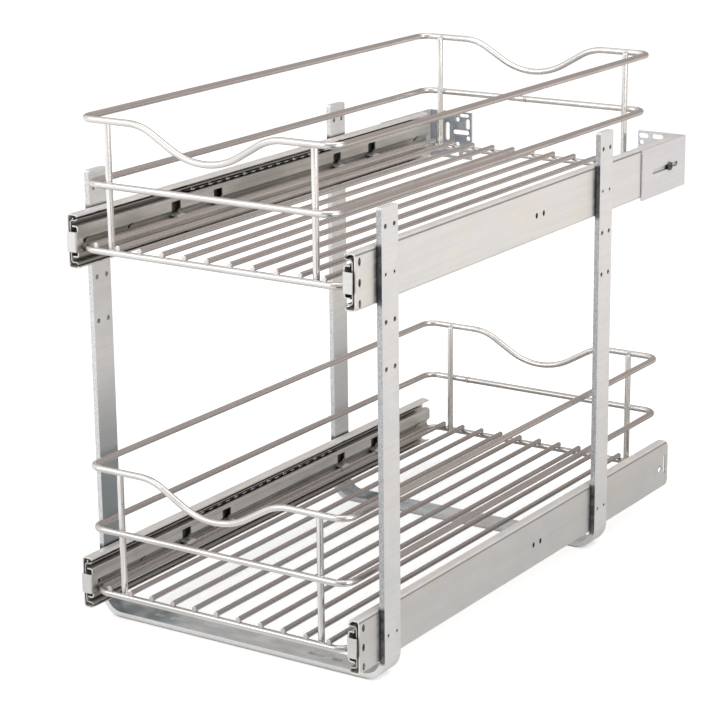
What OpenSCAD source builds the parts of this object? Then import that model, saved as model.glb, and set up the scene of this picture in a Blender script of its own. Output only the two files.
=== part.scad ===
// Pull out cabinet basket: two wire baskets, one above the other, each on a pair of three-member
// ball bearing slides, riveted to two U-shaped straps that stand on the cabinet floor.
// +Z is up, -Y is the front, and the origin is under the middle of the whole assembly.

/* [Straps] */
// Width over the legs of the two U straps
frame_w = 292; // [260:1:460]
// Height of the strap legs above the middle of the upper slides
strap_rise = 53.4; // [46:0.1:120]
// Width of each strap, from front to back
strap_w = 24; // [20:0.5:34]
// Thickness of the strap bar
strap_t = 4.8; // [3:0.1:6]
// Outer radius of the bends at the foot of each leg
strap_bend_r = 21; // [10:0.5:24]
// Radius of the two corners at the top of each leg
strap_corner_r = 2.5; // [0.5:0.5:5]
// Middle of the front strap, behind the front end of the slides
front_strap_y = 41.5; // [24:0.5:120]
// Middle of the rear strap, ahead of the rear end of the slides
rear_strap_back = 149.3; // [90:0.1:240]

/* [Strap holes] */
// Diameter of the holes in the legs
hole_d = 4.1; // [3:0.1:5]
// Distance between the two holes of a pair, across the strap
hole_gap = 12.7; // [10:0.1:14]
// Height from one pair of holes to the next
hole_pitch = 38.1; // [30:0.1:40]
// Width of the fixing slots in the foot of the strap
slot_w = 5; // [4:0.1:8]
// Length of the long fixing slots
long_slot_len = 18; // [10:0.5:22]
// Middle of a long slot, in from the outside of the leg
long_slot_inset = 74.5; // [68:0.5:90]
// Length of the short fixing slots
short_slot_len = 10; // [8:0.5:14]
// Middle of a short slot, in from the outside of the leg
short_slot_inset = 54; // [42:0.5:58]

/* [Slides] */
// Length of the slides, which is the length of the outer member
slide_len = 550; // [500:1:700]
// Height of the slide section
slide_h = 46; // [44:0.5:54]
// Thickness of the closed slide
slide_t = 11; // [11:0.1:14]
// Thickness of the steel that the members are rolled from
sheet_t = 1.2; // [0.9:0.1:1.3]
// Middle of the lower slides above the floor
lower_slide_z = 39.8; // [38:0.1:70]
// Height from the lower slides to the upper ones
slide_spacing = 298.8; // [240:0.1:420]
// How far each basket pulls out
travel = 530; // [300:5:535]
// How much shorter the intermediate member is at the rear
runner_short = 18.4; // [5:0.1:30]
// How much shorter the inner member is at the rear
drawer_short = 2; // [0.5:0.5:20]

/* [Ball cages] */
// Diameter of the balls
ball_d = 3; // [2.6:0.1:3.2]
// Running gap round a ball and between the members and the cages
race_gap = 0.3; // [0.3:0.05:0.4]
// Thickness of the cages
cage_t = 0.5; // [0.4:0.05:0.6]
// Length of each cage
cage_len = 230; // [120:1:236]
// Front end of the cages behind the front end of the slides, when closed
cage_y = 150; // [148:1:160]
// Distance from ball to ball
ball_pitch = 26; // [20:0.5:60]
// Least distance from the end of a cage to its first ball
cage_end = 10; // [5:0.5:20]

/* [Basket wire] */
// Diameter of the rails and uprights
rail_d = 5.6; // [4:0.1:7]
// Diameter of the floor wires
floor_d = 4.6; // [3:0.1:6]
// Radius of the rail corners, at the middle of the wire
corner_r = 12; // [8:0.5:20]
// How far the crossing wires are pressed into one another by welding
weld_sink = 0.3; // [0.1:0.05:0.5]
// Number of floor wires
floor_count = 11; // [7:1:15]
// Outermost floor wire, in from the side of the base rail
floor_margin = 15.3; // [15:0.1:30]
// How far the floor wires reach past the middle of the base rail
floor_overhang = 1; // [0.5:0.1:2.5]

/* [Baskets] */
// Middle of the base rail below the middle of its slides
base_drop = 5.2; // [5:0.1:6]
// Middle rail of the upper basket above its slides
upper_mid_h = 50.1; // [40:0.1:70]
// Top rail of the upper basket above its slides
upper_top_h = 103.3; // [90:0.1:150]
// Middle rail of the lower basket above its slides
lower_mid_h = 51.1; // [40:0.1:70]
// Top rail of the lower basket above its slides
lower_top_h = 105.6; // [90:0.1:150]
// Middle rail of the upper basket, in from the face of its slides
upper_mid_inset = 10.1; // [4:0.1:14]
// Top rail of the upper basket, in from the face of its slides
upper_top_inset = 6.2; // [0:0.1:12]
// Middle rail of the lower basket, in from the face of its slides
lower_mid_inset = 1.2; // [0:0.1:12]
// Top rail of the lower basket, in from the face of its slides
lower_top_inset = 0.4; // [0:0.1:12]
// Front rails of the upper basket, behind the front end of the slides
upper_front_y = 1.4; // [0:0.1:20]
// Rear rails of the upper basket, ahead of the rear end of the slides
upper_rear_back = 23; // [4:0.5:60]
// Front rails of the lower basket, behind the front end of the slides
lower_front_y = 0.5; // [0:0.1:20]
// Rear rails of the lower basket, ahead of the rear end of the slides
lower_rear_back = 4; // [3:0.5:60]
// Depth of the scoop in the front and the rear of the top rail
scoop_depth = 26; // [20:0.5:40]
// Slope of the sides of the scoop
scoop_angle = 30; // [20:1:40]
// Radius of the two bends at the top of the scoop
scoop_top_r = 46; // [20:1:46]
// Radius of the bend at the bottom of the scoop
scoop_bottom_r = 66; // [30:1:66]

/* [Basket tabs] */
// Width of the tabs that hold the basket
tab_w = 11.5; // [6:0.5:12]
// Height of the window that each tab is cut from
window_h = 11; // [8:0.5:11]
// Gap on each side between a tab and its window
window_relief = 0.8; // [0.4:0.1:1.5]
// First window behind the front end of the slides
window_first_y = 132.3; // [100:0.1:140]
// Distance between the two windows of the front pair
front_window_gap = 60.8; // [40:0.1:80]
// Distance between the two windows of the rear pair
rear_window_gap = 60.4; // [40:0.1:80]
// Last window ahead of the rear end of the slides
window_last_back = 107; // [60:1:120]
// Angle that the tab curls on round the wire, past its top
curl_angle = 150; // [110:5:170]

/* [Rear brackets] */
// Thickness of the rear bracket
bracket_t = 1.8; // [1.2:0.1:2.2]
// Height of the rear bracket
bracket_h = 47.4; // [46:0.2:52]
// Middle of the rear bracket below the middle of the slide
bracket_drop = 1.3; // [0:0.1:3]
// Front edge of the rear bracket, ahead of the rear end of the slides
bracket_side_len = 72; // [60:1:84]
// Back of the rear bracket behind the rear end of the slides
bracket_reach = 20; // [10:0.5:30]
// Width of the rear bracket across its back
bracket_flange_w = 50.5; // [50:0.5:60]
// Width of the holes and slots in the rear bracket
bracket_slot_w = 4.6; // [4:0.1:4.6]

/* [Hidden] */

$fn = 48;

// Levels and sides, used as indices and as signs
LOWER = 0;
UPPER = 1;
LEFT = -1;
RIGHT = 1;

// Small overshoot of the cutters past the faces that they cut
over = 1;

// Frame: the slides lie flat against the inside of the strap legs
slide_x = frame_w / 2 - strap_t;
slide_z = [lower_slide_z, lower_slide_z + slide_spacing];
strap_h = slide_z[UPPER] + strap_rise;
pull_reach = 3;
slide_y = -(slide_len + bracket_reach - pull_reach) / 2;
strap_y = [front_strap_y, slide_len - rear_strap_back];
hole_rows = [-2, -1, 0, 1];

// Slide section: u runs in from the outside of the slide, v runs up from its middle
ball_r = ball_d / 2;
race_r = ball_r + race_gap;
bend_r = race_r + sheet_t;
lip_setback = 0.3;
lip_angle = 18;
outer_ball = [slide_t - lip_setback - bend_r, slide_h / 2 - bend_r];
outer_cage_u = sheet_t + race_gap;
runner_u = outer_cage_u + cage_t + race_gap;
inner_ball = [runner_u + bend_r, outer_ball[1] - race_r - bend_r];
inner_cage_u = runner_u + sheet_t + race_gap;
pocket_r = ball_r + 0.1;
cage_rim = 0.3;
cage_bend_r = 1;

// Inner member: a flat face with a groove along it, and lips that carry the inner balls
lip_v = inner_ball[1] - race_r;
lip_u = inner_cage_u + cage_t + 2 * race_gap;
inner_bend_r = 2 * sheet_t;
groove_depth = 3.4;
groove_top_v = 2.4;
groove_floor_v = [-1.2, -3.8];
groove_bottom_v = -9;
face_hole_d = 5.5;
face_hole_back = 24;
face_hole_y = [12.7, 71, slide_len - face_hole_back];

// Pull stop bent across the front of the inner member
pull_h = 17;
pull_tip_u = 1.2;
pull_root = 6;

// Stops that keep the cages within the members
stop_size = [cage_t + race_gap, 3, 8];
stop_gap = 1.5;

// Holes in the outer member
end_slot_y = 5.7;
end_slot_v = -0.9;
end_slot_pitch = 16.6;
end_slot = [2, 5.5];
mid_slot_y = [282.3, 294.6];
mid_slot_v = -1.3;
mid_slot = [1.8, 4];
diamond_back = 16.7;
diamond_v = -2.5;
diamond_side = 6;
rear_slot_back = 7;
rear_slot = [3.5, 18.7];
rear_corner_cut = [3, 6];

// Basket: the base rail lies against the face of the inner members, under the tabs
cradle_gap = 0.1;
curl_gap = 0.05;
rail_r = rail_d / 2;
wire_u = slide_t + cradle_gap + rail_r;
base_half = slide_x - wire_u;
mid_half = [
    slide_x - slide_t - lower_mid_inset,
    slide_x - slide_t - upper_mid_inset
];
top_half = [
    slide_x - slide_t - lower_top_inset,
    slide_x - slide_t - upper_top_inset
];
mid_h = [lower_mid_h, upper_mid_h];
top_h = [lower_top_h, upper_top_h];
front_y = [lower_front_y, upper_front_y];
rear_y = [slide_len - lower_rear_back, slide_len - upper_rear_back];
floor_half = base_half - floor_margin;
floor_pitch = 2 * floor_half / (floor_count - 1);
floor_rise = rail_r + floor_d / 2 - weld_sink;
upright_x = floor_half - floor_pitch / 2;
upright_y = rail_d - weld_sink;
seam = 0.06;
scoop_drop = (scoop_top_r + scoop_bottom_r) * (1 - cos(scoop_angle));
scoop_side = (scoop_depth - scoop_drop) / sin(scoop_angle);
scoop_half = (scoop_top_r + scoop_bottom_r) * sin(scoop_angle) + scoop_side * cos(scoop_angle);

// Windows and tabs, from the front end of the slides
window_y = [
    window_first_y,
    window_first_y + front_window_gap,
    slide_len - window_last_back - rear_window_gap,
    slide_len - window_last_back
];
tab_top_v = -base_drop + rail_r + curl_gap + sheet_t;

// Rear bracket: holes in its back as [distance in from the slide's outside, height], and the
// same bracket turned over is the other hand
bracket_bend_r = 3;
bracket_round = [[32.4, 16.1], [44.7, -2.3], [32.4, -8.8], [45, -12.6]];
bracket_across = [[36.5, 3.3, 18.5], [43, -19, 10.5], [28.2, -19, 12]];
bracket_up = [[44.1, 12, 10.6], [20.7, 3.3, 18.3]];
bracket_top_slot = [40, 20.4, 11];
bracket_top_slot_w = 3.4;
bracket_side_slot = [52, 4.6];
bracket_side_slot_back = 25;

// Bracket screw and its flat nut
screw_d = 4;
screw_head_d = 7.6;
screw_head_h = 1.8;
screw_recess_d = 2.6;
screw_recess_h = 1;
nut_d = 8;
nut_t = 0.8;

// Rivets through the straps and the outer members
rivet_gap = 0.05;
rivet_bore_d = 2.4;
rivet_bore_h = 2.5;

// Colours
strap_colour = [0.80, 0.80, 0.79];
slide_colour = [0.83, 0.82, 0.80];
runner_colour = [0.74, 0.74, 0.73];
wire_colour = [0.72, 0.69, 0.66];
cage_colour = [0.55, 0.55, 0.56];
ball_colour = [0.88, 0.88, 0.90];
dark_colour = [0.35, 0.36, 0.38];

// ---- Small shapes ----

// Rectangle from corner a to corner b
module bar(a, b) {
    translate(a)
        square(b - a);
}

// Bent strip of sheet round the point c, from angle a0 to angle a1
module bend(c, r_in, r_out, a0, a1) {
    steps = 4;
    reach = 2 * r_out;
    wedge = [for (i = [0 : steps]) let (a = a0 + (a1 - a0) * i / steps) reach * [cos(a), sin(a)]];
    translate(c)
        intersection() {
            difference() {
                circle(r = r_out);
                circle(r = r_in);
            }
            polygon(concat([[0, 0]], wedge));
        }
}

// Unit normal on the left of the step from a to b
function normal(a, b) = [a[1] - b[1], b[0] - a[0]] / norm(b - a);

// Path shifted to its left by t, with its corners mitred
function shifted(path, t) = [
    for (i = [0 : len(path) - 1])
        let (
            last = len(path) - 1,
            before = normal(path[max(i - 1, 0)], path[max(i, 1)]),
            after = normal(path[min(i, last - 1)], path[min(i + 1, last)]),
            middle = (before + after) / norm(before + after)
        )
        path[i] + middle * t / (middle * before)
];

// Strip of sheet along a path of straight steps
module strip(path, t) {
    back = shifted(path, t);
    polygon(concat(path, [for (i = [len(path) - 1 : -1 : 0]) back[i]]));
}

// Both halves of a section that is the same above and below the middle
module both_halves() {
    children();
    mirror([0, 1])
        children();
}

// Section in u and v, drawn out along Y
module along(y_from, y_to) {
    translate([0, y_to, 0])
        rotate([90, 0, 0])
            linear_extrude(y_to - y_from)
                children();
}

// Puts what is drawn in u, y and v at a slide
module at_slide(level, side) {
    translate([side * slide_x, slide_y, slide_z[level]])
        mirror([side == RIGHT ? 1 : 0, 0, 0])
            children();
}

// Upright slot through a side face, width along Y and height along Z, round at both ends
module side_slot(y, v, size) {
    reach = 2 * slide_t;
    straight = size[1] - size[0];
    for (end = [-1, 1])
        translate([-reach / 2, y, v + end * straight / 2])
            rotate([0, 90, 0])
                cylinder(h = reach, d = size[0]);
    translate([-reach / 2, y - size[0] / 2, v - straight / 2])
        cube([reach, size[0], straight]);
}

// ---- Straps ----

module strap_section() {
    bar([-frame_w / 2 + strap_bend_r, 0], [frame_w / 2 - strap_bend_r, strap_t]);
    for (side = [LEFT, RIGHT])
        mirror([side == LEFT ? 1 : 0, 0]) {
            bar([slide_x, strap_bend_r], [frame_w / 2, strap_h]);
            bend([frame_w / 2 - strap_bend_r, strap_bend_r], strap_bend_r - strap_t, strap_bend_r, -90, 0);
        }
}

// Cuts the square corners off the tops of the legs
module strap_corner_cuts() {
    for (end = [-1, 1])
        translate([0, end * (strap_w / 2 - strap_corner_r), strap_h - strap_corner_r])
            difference() {
                translate([-frame_w / 2 - over, end > 0 ? 0 : -strap_corner_r - over, 0])
                    cube([frame_w + 2 * over, strap_corner_r + over, strap_corner_r + over]);
                rotate([0, 90, 0])
                    cylinder(h = frame_w + 4 * over, r = strap_corner_r, center = true);
            }
}

module strap_leg_holes() {
    rows = concat([slide_z[LOWER]], [for (row = hole_rows) slide_z[UPPER] + row * hole_pitch]);
    for (z = rows, end = [-1, 1])
        translate([0, end * hole_gap / 2, z])
            rotate([0, 90, 0])
                cylinder(h = frame_w + 2 * over, d = hole_d, center = true);
}

module foot_slot(x, length) {
    straight = length - slot_w;
    for (end = [-1, 1])
        translate([x + end * straight / 2, 0, -over])
            cylinder(h = strap_t + 2 * over, d = slot_w);
    translate([x - straight / 2, -slot_w / 2, -over])
        cube([straight, slot_w, strap_t + 2 * over]);
}

module strap(y) {
    color(strap_colour)
        translate([0, slide_y + y, 0])
            difference() {
                along(-strap_w / 2, strap_w / 2)
                    strap_section();
                strap_corner_cuts();
                strap_leg_holes();
                for (side = [LEFT, RIGHT]) {
                    foot_slot(side * (frame_w / 2 - long_slot_inset), long_slot_len);
                    foot_slot(side * (frame_w / 2 - short_slot_inset), short_slot_len);
                }
            }
}

// Semi-tubular rivets, flush with the strap outside and with the outer member inside
module slide_rivets() {
    length = strap_t + sheet_t;
    color(ball_colour)
        for (level = [LOWER, UPPER], side = [LEFT, RIGHT], y = strap_y, end = [-1, 1])
            at_slide(level, side)
                translate([sheet_t, y + end * hole_gap / 2, 0])
                    rotate([0, -90, 0])
                        difference() {
                            cylinder(h = length, d = hole_d - 2 * rivet_gap);
                            translate([0, 0, length - rivet_bore_h])
                                cylinder(h = rivet_bore_h + over, d = rivet_bore_d);
                        }
}

// ---- Slides ----

module outer_section() {
    both_halves() {
        bar([0, -over], [sheet_t, outer_ball[1]]);
        bend([bend_r, outer_ball[1]], race_r, bend_r, 90, 180);
        bar([bend_r, outer_ball[1] + race_r], [outer_ball[0], slide_h / 2]);
        bend(outer_ball, race_r, bend_r, lip_angle, 90);
    }
}

module outer_member(level, side) {
    color(slide_colour)
        at_slide(level, side) {
            difference() {
                along(0, slide_len)
                    outer_section();
                for (row = [-1, 0, 1])
                    side_slot(end_slot_y, end_slot_v + row * end_slot_pitch, end_slot);
                for (y = mid_slot_y)
                    side_slot(y, mid_slot_v, mid_slot);
                side_slot(slide_len - rear_slot_back, 0, rear_slot);
                translate([sheet_t / 2, slide_len - diamond_back, diamond_v])
                    rotate([45, 0, 0])
                        cube([sheet_t + 2 * over, diamond_side, diamond_side], center = true);
                for (y = strap_y, end = [-1, 1])
                    translate([-over, y + end * hole_gap / 2, 0])
                        rotate([0, 90, 0])
                            cylinder(h = sheet_t + 2 * over, d = hole_d);
                rear_corner_cuts();
            }
            cage_stops(sheet_t);
        }
}

// Slanted cuts across the two rear corners of the outer member
module rear_corner_cuts() {
    for (end = [-1, 1])
        mirror([0, 0, end < 0 ? 1 : 0])
            translate([-over, slide_len, slide_h / 2])
                rotate([90, 0, 90])
                    linear_extrude(slide_t + 2 * over)
                        polygon([[over, -rear_corner_cut[1]], [over, over], [-rear_corner_cut[0], over],
                                 [-rear_corner_cut[0], 0], [0, -rear_corner_cut[1]]]);
}

// Lanced stops on the face at u that keep a cage in its place, ahead of it and behind it
module cage_stops(u) {
    stops = [cage_y - travel / 4 - stop_gap - stop_size[1], cage_y + cage_len + stop_gap];
    for (y = stops)
        translate([u, y, -stop_size[2] / 2])
            cube(stop_size);
}

module runner_section() {
    both_halves() {
        bar([runner_u, -over], [runner_u + sheet_t, inner_ball[1]]);
        bend(inner_ball, race_r, bend_r, 90, 180);
        bar([inner_ball[0], inner_ball[1] + race_r], [outer_ball[0], inner_ball[1] + bend_r]);
        bend(outer_ball, race_r, bend_r, -90, -lip_angle);
    }
}

module runner(level, side) {
    color(runner_colour)
        at_slide(level, side) {
            along(0, slide_len - runner_short)
                runner_section();
            cage_stops(runner_u + sheet_t);
        }
}

module inner_section() {
    face = [
        [slide_t, -lip_v + inner_bend_r - sheet_t],
        [slide_t, groove_bottom_v],
        [slide_t - groove_depth, groove_floor_v[1]],
        [slide_t - groove_depth, groove_floor_v[0]],
        [slide_t, groove_top_v],
        [slide_t, lip_v - inner_bend_r + sheet_t]
    ];
    strip([for (p = face) [p[0], p[1]]], sheet_t);
    both_halves() {
        bend([slide_t - inner_bend_r, lip_v - inner_bend_r], inner_bend_r - sheet_t, inner_bend_r, 0, 90);
        bar([lip_u, lip_v - sheet_t], [slide_t - inner_bend_r, lip_v]);
    }
}

// Tab turned out of the face at the foot of its window and curled round the base rail
module basket_tab(y) {
    along(y - tab_w / 2, y + tab_w / 2) {
        bar([slide_t - groove_depth - sheet_t, tab_top_v - sheet_t], [wire_u, tab_top_v]);
        bend([wire_u, -base_drop], rail_r + curl_gap, rail_r + curl_gap + sheet_t, 90 - curl_angle, 90);
    }
}

// Strip that carries on from the front of the face and turns out across the end of the slide
module pull_stop() {
    turn = [slide_t - inner_bend_r, inner_bend_r - pull_reach];
    translate([0, 0, -pull_h / 2])
        linear_extrude(pull_h) {
            bar([slide_t - sheet_t, turn[1]], [slide_t, pull_root]);
            bend(turn, inner_bend_r - sheet_t, inner_bend_r, -90, 0);
            bar([pull_tip_u, -pull_reach], [turn[0], sheet_t - pull_reach]);
        }
}

module inner_member(level, side) {
    window_w = tab_w + 2 * window_relief;
    color(slide_colour)
        at_slide(level, side) {
            difference() {
                along(0, slide_len - drawer_short)
                    inner_section();
                for (y = window_y)
                    translate([lip_u, y - window_w / 2, tab_top_v])
                        cube([slide_t, window_w, window_h]);
                for (y = face_hole_y)
                    translate([lip_u, y, 0])
                        rotate([0, 90, 0])
                            cylinder(h = slide_t, d = face_hole_d);
            }
            for (y = window_y)
                basket_tab(y);
            pull_stop();
        }
}

// ---- Ball cages ----

// Thin channel from u, whose legs run through the middle of the two rows of balls
module cage_section(u, ball) {
    leg_v = ball[1] + cage_t / 2;
    both_halves() {
        bar([u, -over], [u + cage_t, leg_v - cage_bend_r]);
        bend([u + cage_bend_r, leg_v - cage_bend_r], cage_bend_r - cage_t, cage_bend_r, 90, 180);
        bar([u + cage_bend_r, leg_v - cage_t], [ball[0] + pocket_r + cage_rim, leg_v]);
    }
}

// Places of the balls along a cage
function ball_places() =
    let (
        count = 1 + floor((cage_len - 2 * cage_end) / ball_pitch),
        first = cage_y + (cage_len - (count - 1) * ball_pitch) / 2
    )
    [for (i = [0 : count - 1]) first + i * ball_pitch];

module cage(level, side, u, ball) {
    color(cage_colour)
        at_slide(level, side)
            difference() {
                along(cage_y, cage_y + cage_len)
                    cage_section(u, ball);
                for (y = ball_places(), row = [-1, 1])
                    translate([ball[0], y, row * ball[1]])
                        cylinder(h = ball_d, r = pocket_r, center = true);
            }
}

module balls(level, ball) {
    color(ball_colour)
        for (side = [LEFT, RIGHT], row = [-1, 1], y = ball_places())
            at_slide(level, side)
                translate([ball[0], y, row * ball[1]])
                    sphere(r = ball_r);
}

// ---- Rear brackets ----

module back_hole(place) {
    translate([place[0], 0, place[1]])
        rotate([90, 0, 0])
            cylinder(h = 4 * bracket_t, d = bracket_slot_w, center = true);
}

// Slot through the back of the bracket, across it or up it
module back_slot(place, length, width, up) {
    translate([place[0], 0, place[1]])
        rotate([0, up ? 90 : 0, 0]) {
            for (end = [-1, 1])
                translate([end * (length - width) / 2, 0, 0])
                    rotate([90, 0, 0])
                        cylinder(h = 4 * bracket_t, d = width, center = true);
            cube([length - width, 4 * bracket_t, width], center = true);
        }
}

module rear_bracket(side) {
    back_y = slide_len + bracket_reach;
    turn = [bracket_bend_r - bracket_t, back_y - bracket_bend_r];
    slot_y = slide_len - bracket_side_slot_back;
    color(slide_colour)
        at_slide(UPPER, side)
            translate([0, 0, -bracket_drop])
                mirror([0, 0, side == RIGHT ? 1 : 0])
                    difference() {
                        translate([0, 0, -bracket_h / 2])
                            linear_extrude(bracket_h) {
                                bar([-bracket_t, slide_len - bracket_side_len], [0, turn[1]]);
                                bend(turn, bracket_bend_r - bracket_t, bracket_bend_r, 90, 180);
                                bar([turn[0], back_y - bracket_t], [bracket_flange_w - bracket_t, back_y]);
                            }
                        translate([0, back_y - bracket_t / 2, 0]) {
                            for (hole = bracket_round)
                                back_hole(hole);
                            for (slot = bracket_across)
                                back_slot(slot, slot[2], bracket_slot_w, false);
                            back_slot(bracket_top_slot, bracket_top_slot[2], bracket_top_slot_w, false);
                            for (slot = bracket_up)
                                back_slot(slot, slot[2], bracket_slot_w, true);
                        }
                        translate([0, slot_y, 0])
                            rotate([90, 0, 0])
                                side_slot(0, 0, [bracket_side_slot[1], bracket_side_slot[0]]);
                    }
}

// Screws that hold the brackets to the slides, each with its flat nut inside
module bracket_screws() {
    color(dark_colour)
        for (side = [LEFT, RIGHT])
            at_slide(UPPER, side)
                translate([-bracket_t, slide_len - diamond_back, -bracket_drop])
                    rotate([0, 90, 0]) {
                        cylinder(h = bracket_t + sheet_t, d = screw_d);
                        translate([0, 0, bracket_t + sheet_t])
                            cylinder(h = nut_t, d = nut_d);
                        difference() {
                            translate([0, 0, -screw_head_h])
                                cylinder(h = screw_head_h, d = screw_head_d);
                            translate([0, 0, -screw_head_h - over])
                                cylinder(h = screw_recess_h + over, d = screw_recess_d);
                        }
                    }
}

// ---- Baskets ----

// Puts what is drawn from the front end and the middle of the slides at its level
module at_level(level) {
    translate([0, slide_y, slide_z[level]])
        children();
}

// Straight wire from one point to another
module rod(from, to, d) {
    step = to - from;
    length = norm(step);
    translate(from)
        rotate([0, acos(step[2] / length), atan2(step[1], step[0])])
            cylinder(h = length, d = d);
}

// Bent wire in the XY plane round c
module elbow(c, r, a0, a1) {
    translate(c)
        rotate([0, 0, a0])
            rotate_extrude(angle = a1 - a0)
                translate([r, 0])
                    circle(d = rail_d);
}

// Sides and corners of a rail
module rail_sides(half, y_front, y_rear, h) {
    x = half - corner_r;
    y = [y_front + corner_r, y_rear - corner_r];
    for (side = [LEFT, RIGHT])
        rod([side * half, y[0], h], [side * half, y[1], h], rail_d);
    elbow([x, y[0], h], corner_r, -90, 0);
    elbow([x, y[1], h], corner_r, 0, 90);
    elbow([-x, y[1], h], corner_r, 90, 180);
    elbow([-x, y[0], h], corner_r, 180, 270);
}

// Flat rail with rounded corners
module flat_rail(half, y_front, y_rear, h) {
    rail_sides(half, y_front, y_rear, h);
    for (y = [y_front, y_rear])
        rod([-half + corner_r, y, h], [half - corner_r, y, h], rail_d);
}

// Front or rear run of the top rail, which dips in a scoop at the middle
module scooped_run(half, h) {
    top_end = [scoop_half - scoop_top_r * sin(scoop_angle), h - scoop_top_r * (1 - cos(scoop_angle))];
    low_end = [scoop_bottom_r * sin(scoop_angle), h - scoop_depth + scoop_bottom_r * (1 - cos(scoop_angle))];
    for (side = [LEFT, RIGHT])
        mirror([side == LEFT ? 1 : 0, 0, 0]) {
            rod([scoop_half, 0, h], [half - corner_r, 0, h], rail_d);
            rotate([90, 0, 0])
                elbow([scoop_half, h - scoop_top_r, 0], scoop_top_r, 90, 90 + scoop_angle);
            rod([low_end[0], 0, low_end[1]], [top_end[0], 0, top_end[1]], rail_d);
            for (end = [low_end, top_end])
                translate([end[0], 0, end[1]])
                    sphere(d = rail_d + seam);
        }
    rotate([90, 0, 0])
        elbow([0, h - scoop_depth + scoop_bottom_r, 0], scoop_bottom_r, -90 - scoop_angle, -90 + scoop_angle);
}

module base_rail(level) {
    color(wire_colour)
        at_level(level)
            flat_rail(base_half, front_y[level], rear_y[level], -base_drop);
}

module mid_rail(level) {
    color(wire_colour)
        at_level(level)
            flat_rail(mid_half[level], front_y[level], rear_y[level], mid_h[level]);
}

module top_rail(level) {
    color(wire_colour)
        at_level(level) {
            rail_sides(top_half[level], front_y[level], rear_y[level], top_h[level]);
            for (y = [front_y[level], rear_y[level]])
                translate([0, y, 0])
                    scooped_run(top_half[level], top_h[level]);
        }
}

module floor_wires(level) {
    z = floor_rise - base_drop;
    color(wire_colour)
        at_level(level)
            for (i = [0 : floor_count - 1])
                let (x = i * floor_pitch - floor_half)
                    rod([x, front_y[level] - floor_overhang, z], [x, rear_y[level] + floor_overhang, z], floor_d);
}

module uprights(level) {
    y = [front_y[level] + upright_y, rear_y[level] - upright_y];
    color(wire_colour)
        at_level(level)
            for (side = [LEFT, RIGHT], end = y)
                rod([side * upright_x, end, -base_drop - rail_r], [side * upright_x, end, top_h[level] + rail_r], rail_d);
}

// ---- Parts ----

strap(strap_y[0]);  // front_strap
strap(strap_y[1]);  // rear_strap
slide_rivets();
rear_bracket(LEFT);  // left_rear_bracket
rear_bracket(RIGHT);  // right_rear_bracket
bracket_screws();
outer_member(LOWER, LEFT);  // lower_left_outer_member
outer_member(LOWER, RIGHT);  // lower_right_outer_member
outer_member(UPPER, LEFT);  // upper_left_outer_member
outer_member(UPPER, RIGHT);  // upper_right_outer_member
runner(LOWER, LEFT);  // lower_left_runner
runner(LOWER, RIGHT);  // lower_right_runner
runner(UPPER, LEFT);  // upper_left_runner
runner(UPPER, RIGHT);  // upper_right_runner
inner_member(LOWER, LEFT);  // lower_left_inner_member
inner_member(LOWER, RIGHT);  // lower_right_inner_member
inner_member(UPPER, LEFT);  // upper_left_inner_member
inner_member(UPPER, RIGHT);  // upper_right_inner_member
cage(LOWER, LEFT, outer_cage_u, outer_ball);  // lower_left_outer_cage
cage(LOWER, RIGHT, outer_cage_u, outer_ball);  // lower_right_outer_cage
balls(LOWER, outer_ball);  // lower_outer_balls
cage(UPPER, LEFT, outer_cage_u, outer_ball);  // upper_left_outer_cage
cage(UPPER, RIGHT, outer_cage_u, outer_ball);  // upper_right_outer_cage
balls(UPPER, outer_ball);  // upper_outer_balls
cage(LOWER, LEFT, inner_cage_u, inner_ball);  // lower_left_inner_cage
cage(LOWER, RIGHT, inner_cage_u, inner_ball);  // lower_right_inner_cage
balls(LOWER, inner_ball);  // lower_inner_balls
cage(UPPER, LEFT, inner_cage_u, inner_ball);  // upper_left_inner_cage
cage(UPPER, RIGHT, inner_cage_u, inner_ball);  // upper_right_inner_cage
balls(UPPER, inner_ball);  // upper_inner_balls
base_rail(LOWER);  // lower_base_rail
floor_wires(LOWER);  // lower_floor_wires
uprights(LOWER);  // lower_uprights
mid_rail(LOWER);  // lower_mid_rail
top_rail(LOWER);  // lower_top_rail
base_rail(UPPER);  // upper_base_rail
floor_wires(UPPER);  // upper_floor_wires
uprights(UPPER);  // upper_uprights
mid_rail(UPPER);  // upper_mid_rail
top_rail(UPPER);  // upper_top_rail
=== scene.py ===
import math

import bmesh
import bpy
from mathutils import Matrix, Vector


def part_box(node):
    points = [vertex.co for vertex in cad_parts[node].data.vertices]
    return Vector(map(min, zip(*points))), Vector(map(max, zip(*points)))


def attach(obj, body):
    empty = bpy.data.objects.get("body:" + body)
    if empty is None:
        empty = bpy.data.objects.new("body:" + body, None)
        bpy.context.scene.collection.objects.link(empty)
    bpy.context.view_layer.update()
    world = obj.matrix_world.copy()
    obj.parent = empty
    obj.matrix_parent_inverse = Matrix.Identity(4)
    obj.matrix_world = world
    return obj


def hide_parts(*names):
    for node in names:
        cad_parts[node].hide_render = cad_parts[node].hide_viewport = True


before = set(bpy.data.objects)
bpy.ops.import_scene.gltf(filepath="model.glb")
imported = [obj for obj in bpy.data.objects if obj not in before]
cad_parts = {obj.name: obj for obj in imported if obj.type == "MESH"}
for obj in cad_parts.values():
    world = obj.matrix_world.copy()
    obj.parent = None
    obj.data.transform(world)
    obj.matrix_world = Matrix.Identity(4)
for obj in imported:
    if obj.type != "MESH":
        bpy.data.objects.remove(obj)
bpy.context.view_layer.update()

# ---- Sizes, in metres ----

MM = 0.001
LEVELS = ("lower", "upper")
SIDES = ("left", "right")
ACROSS = Vector((1, 0, 0))
LENGTHWISE = Vector((0, 1, 0))
UP = Vector((0, 0, 1))

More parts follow.
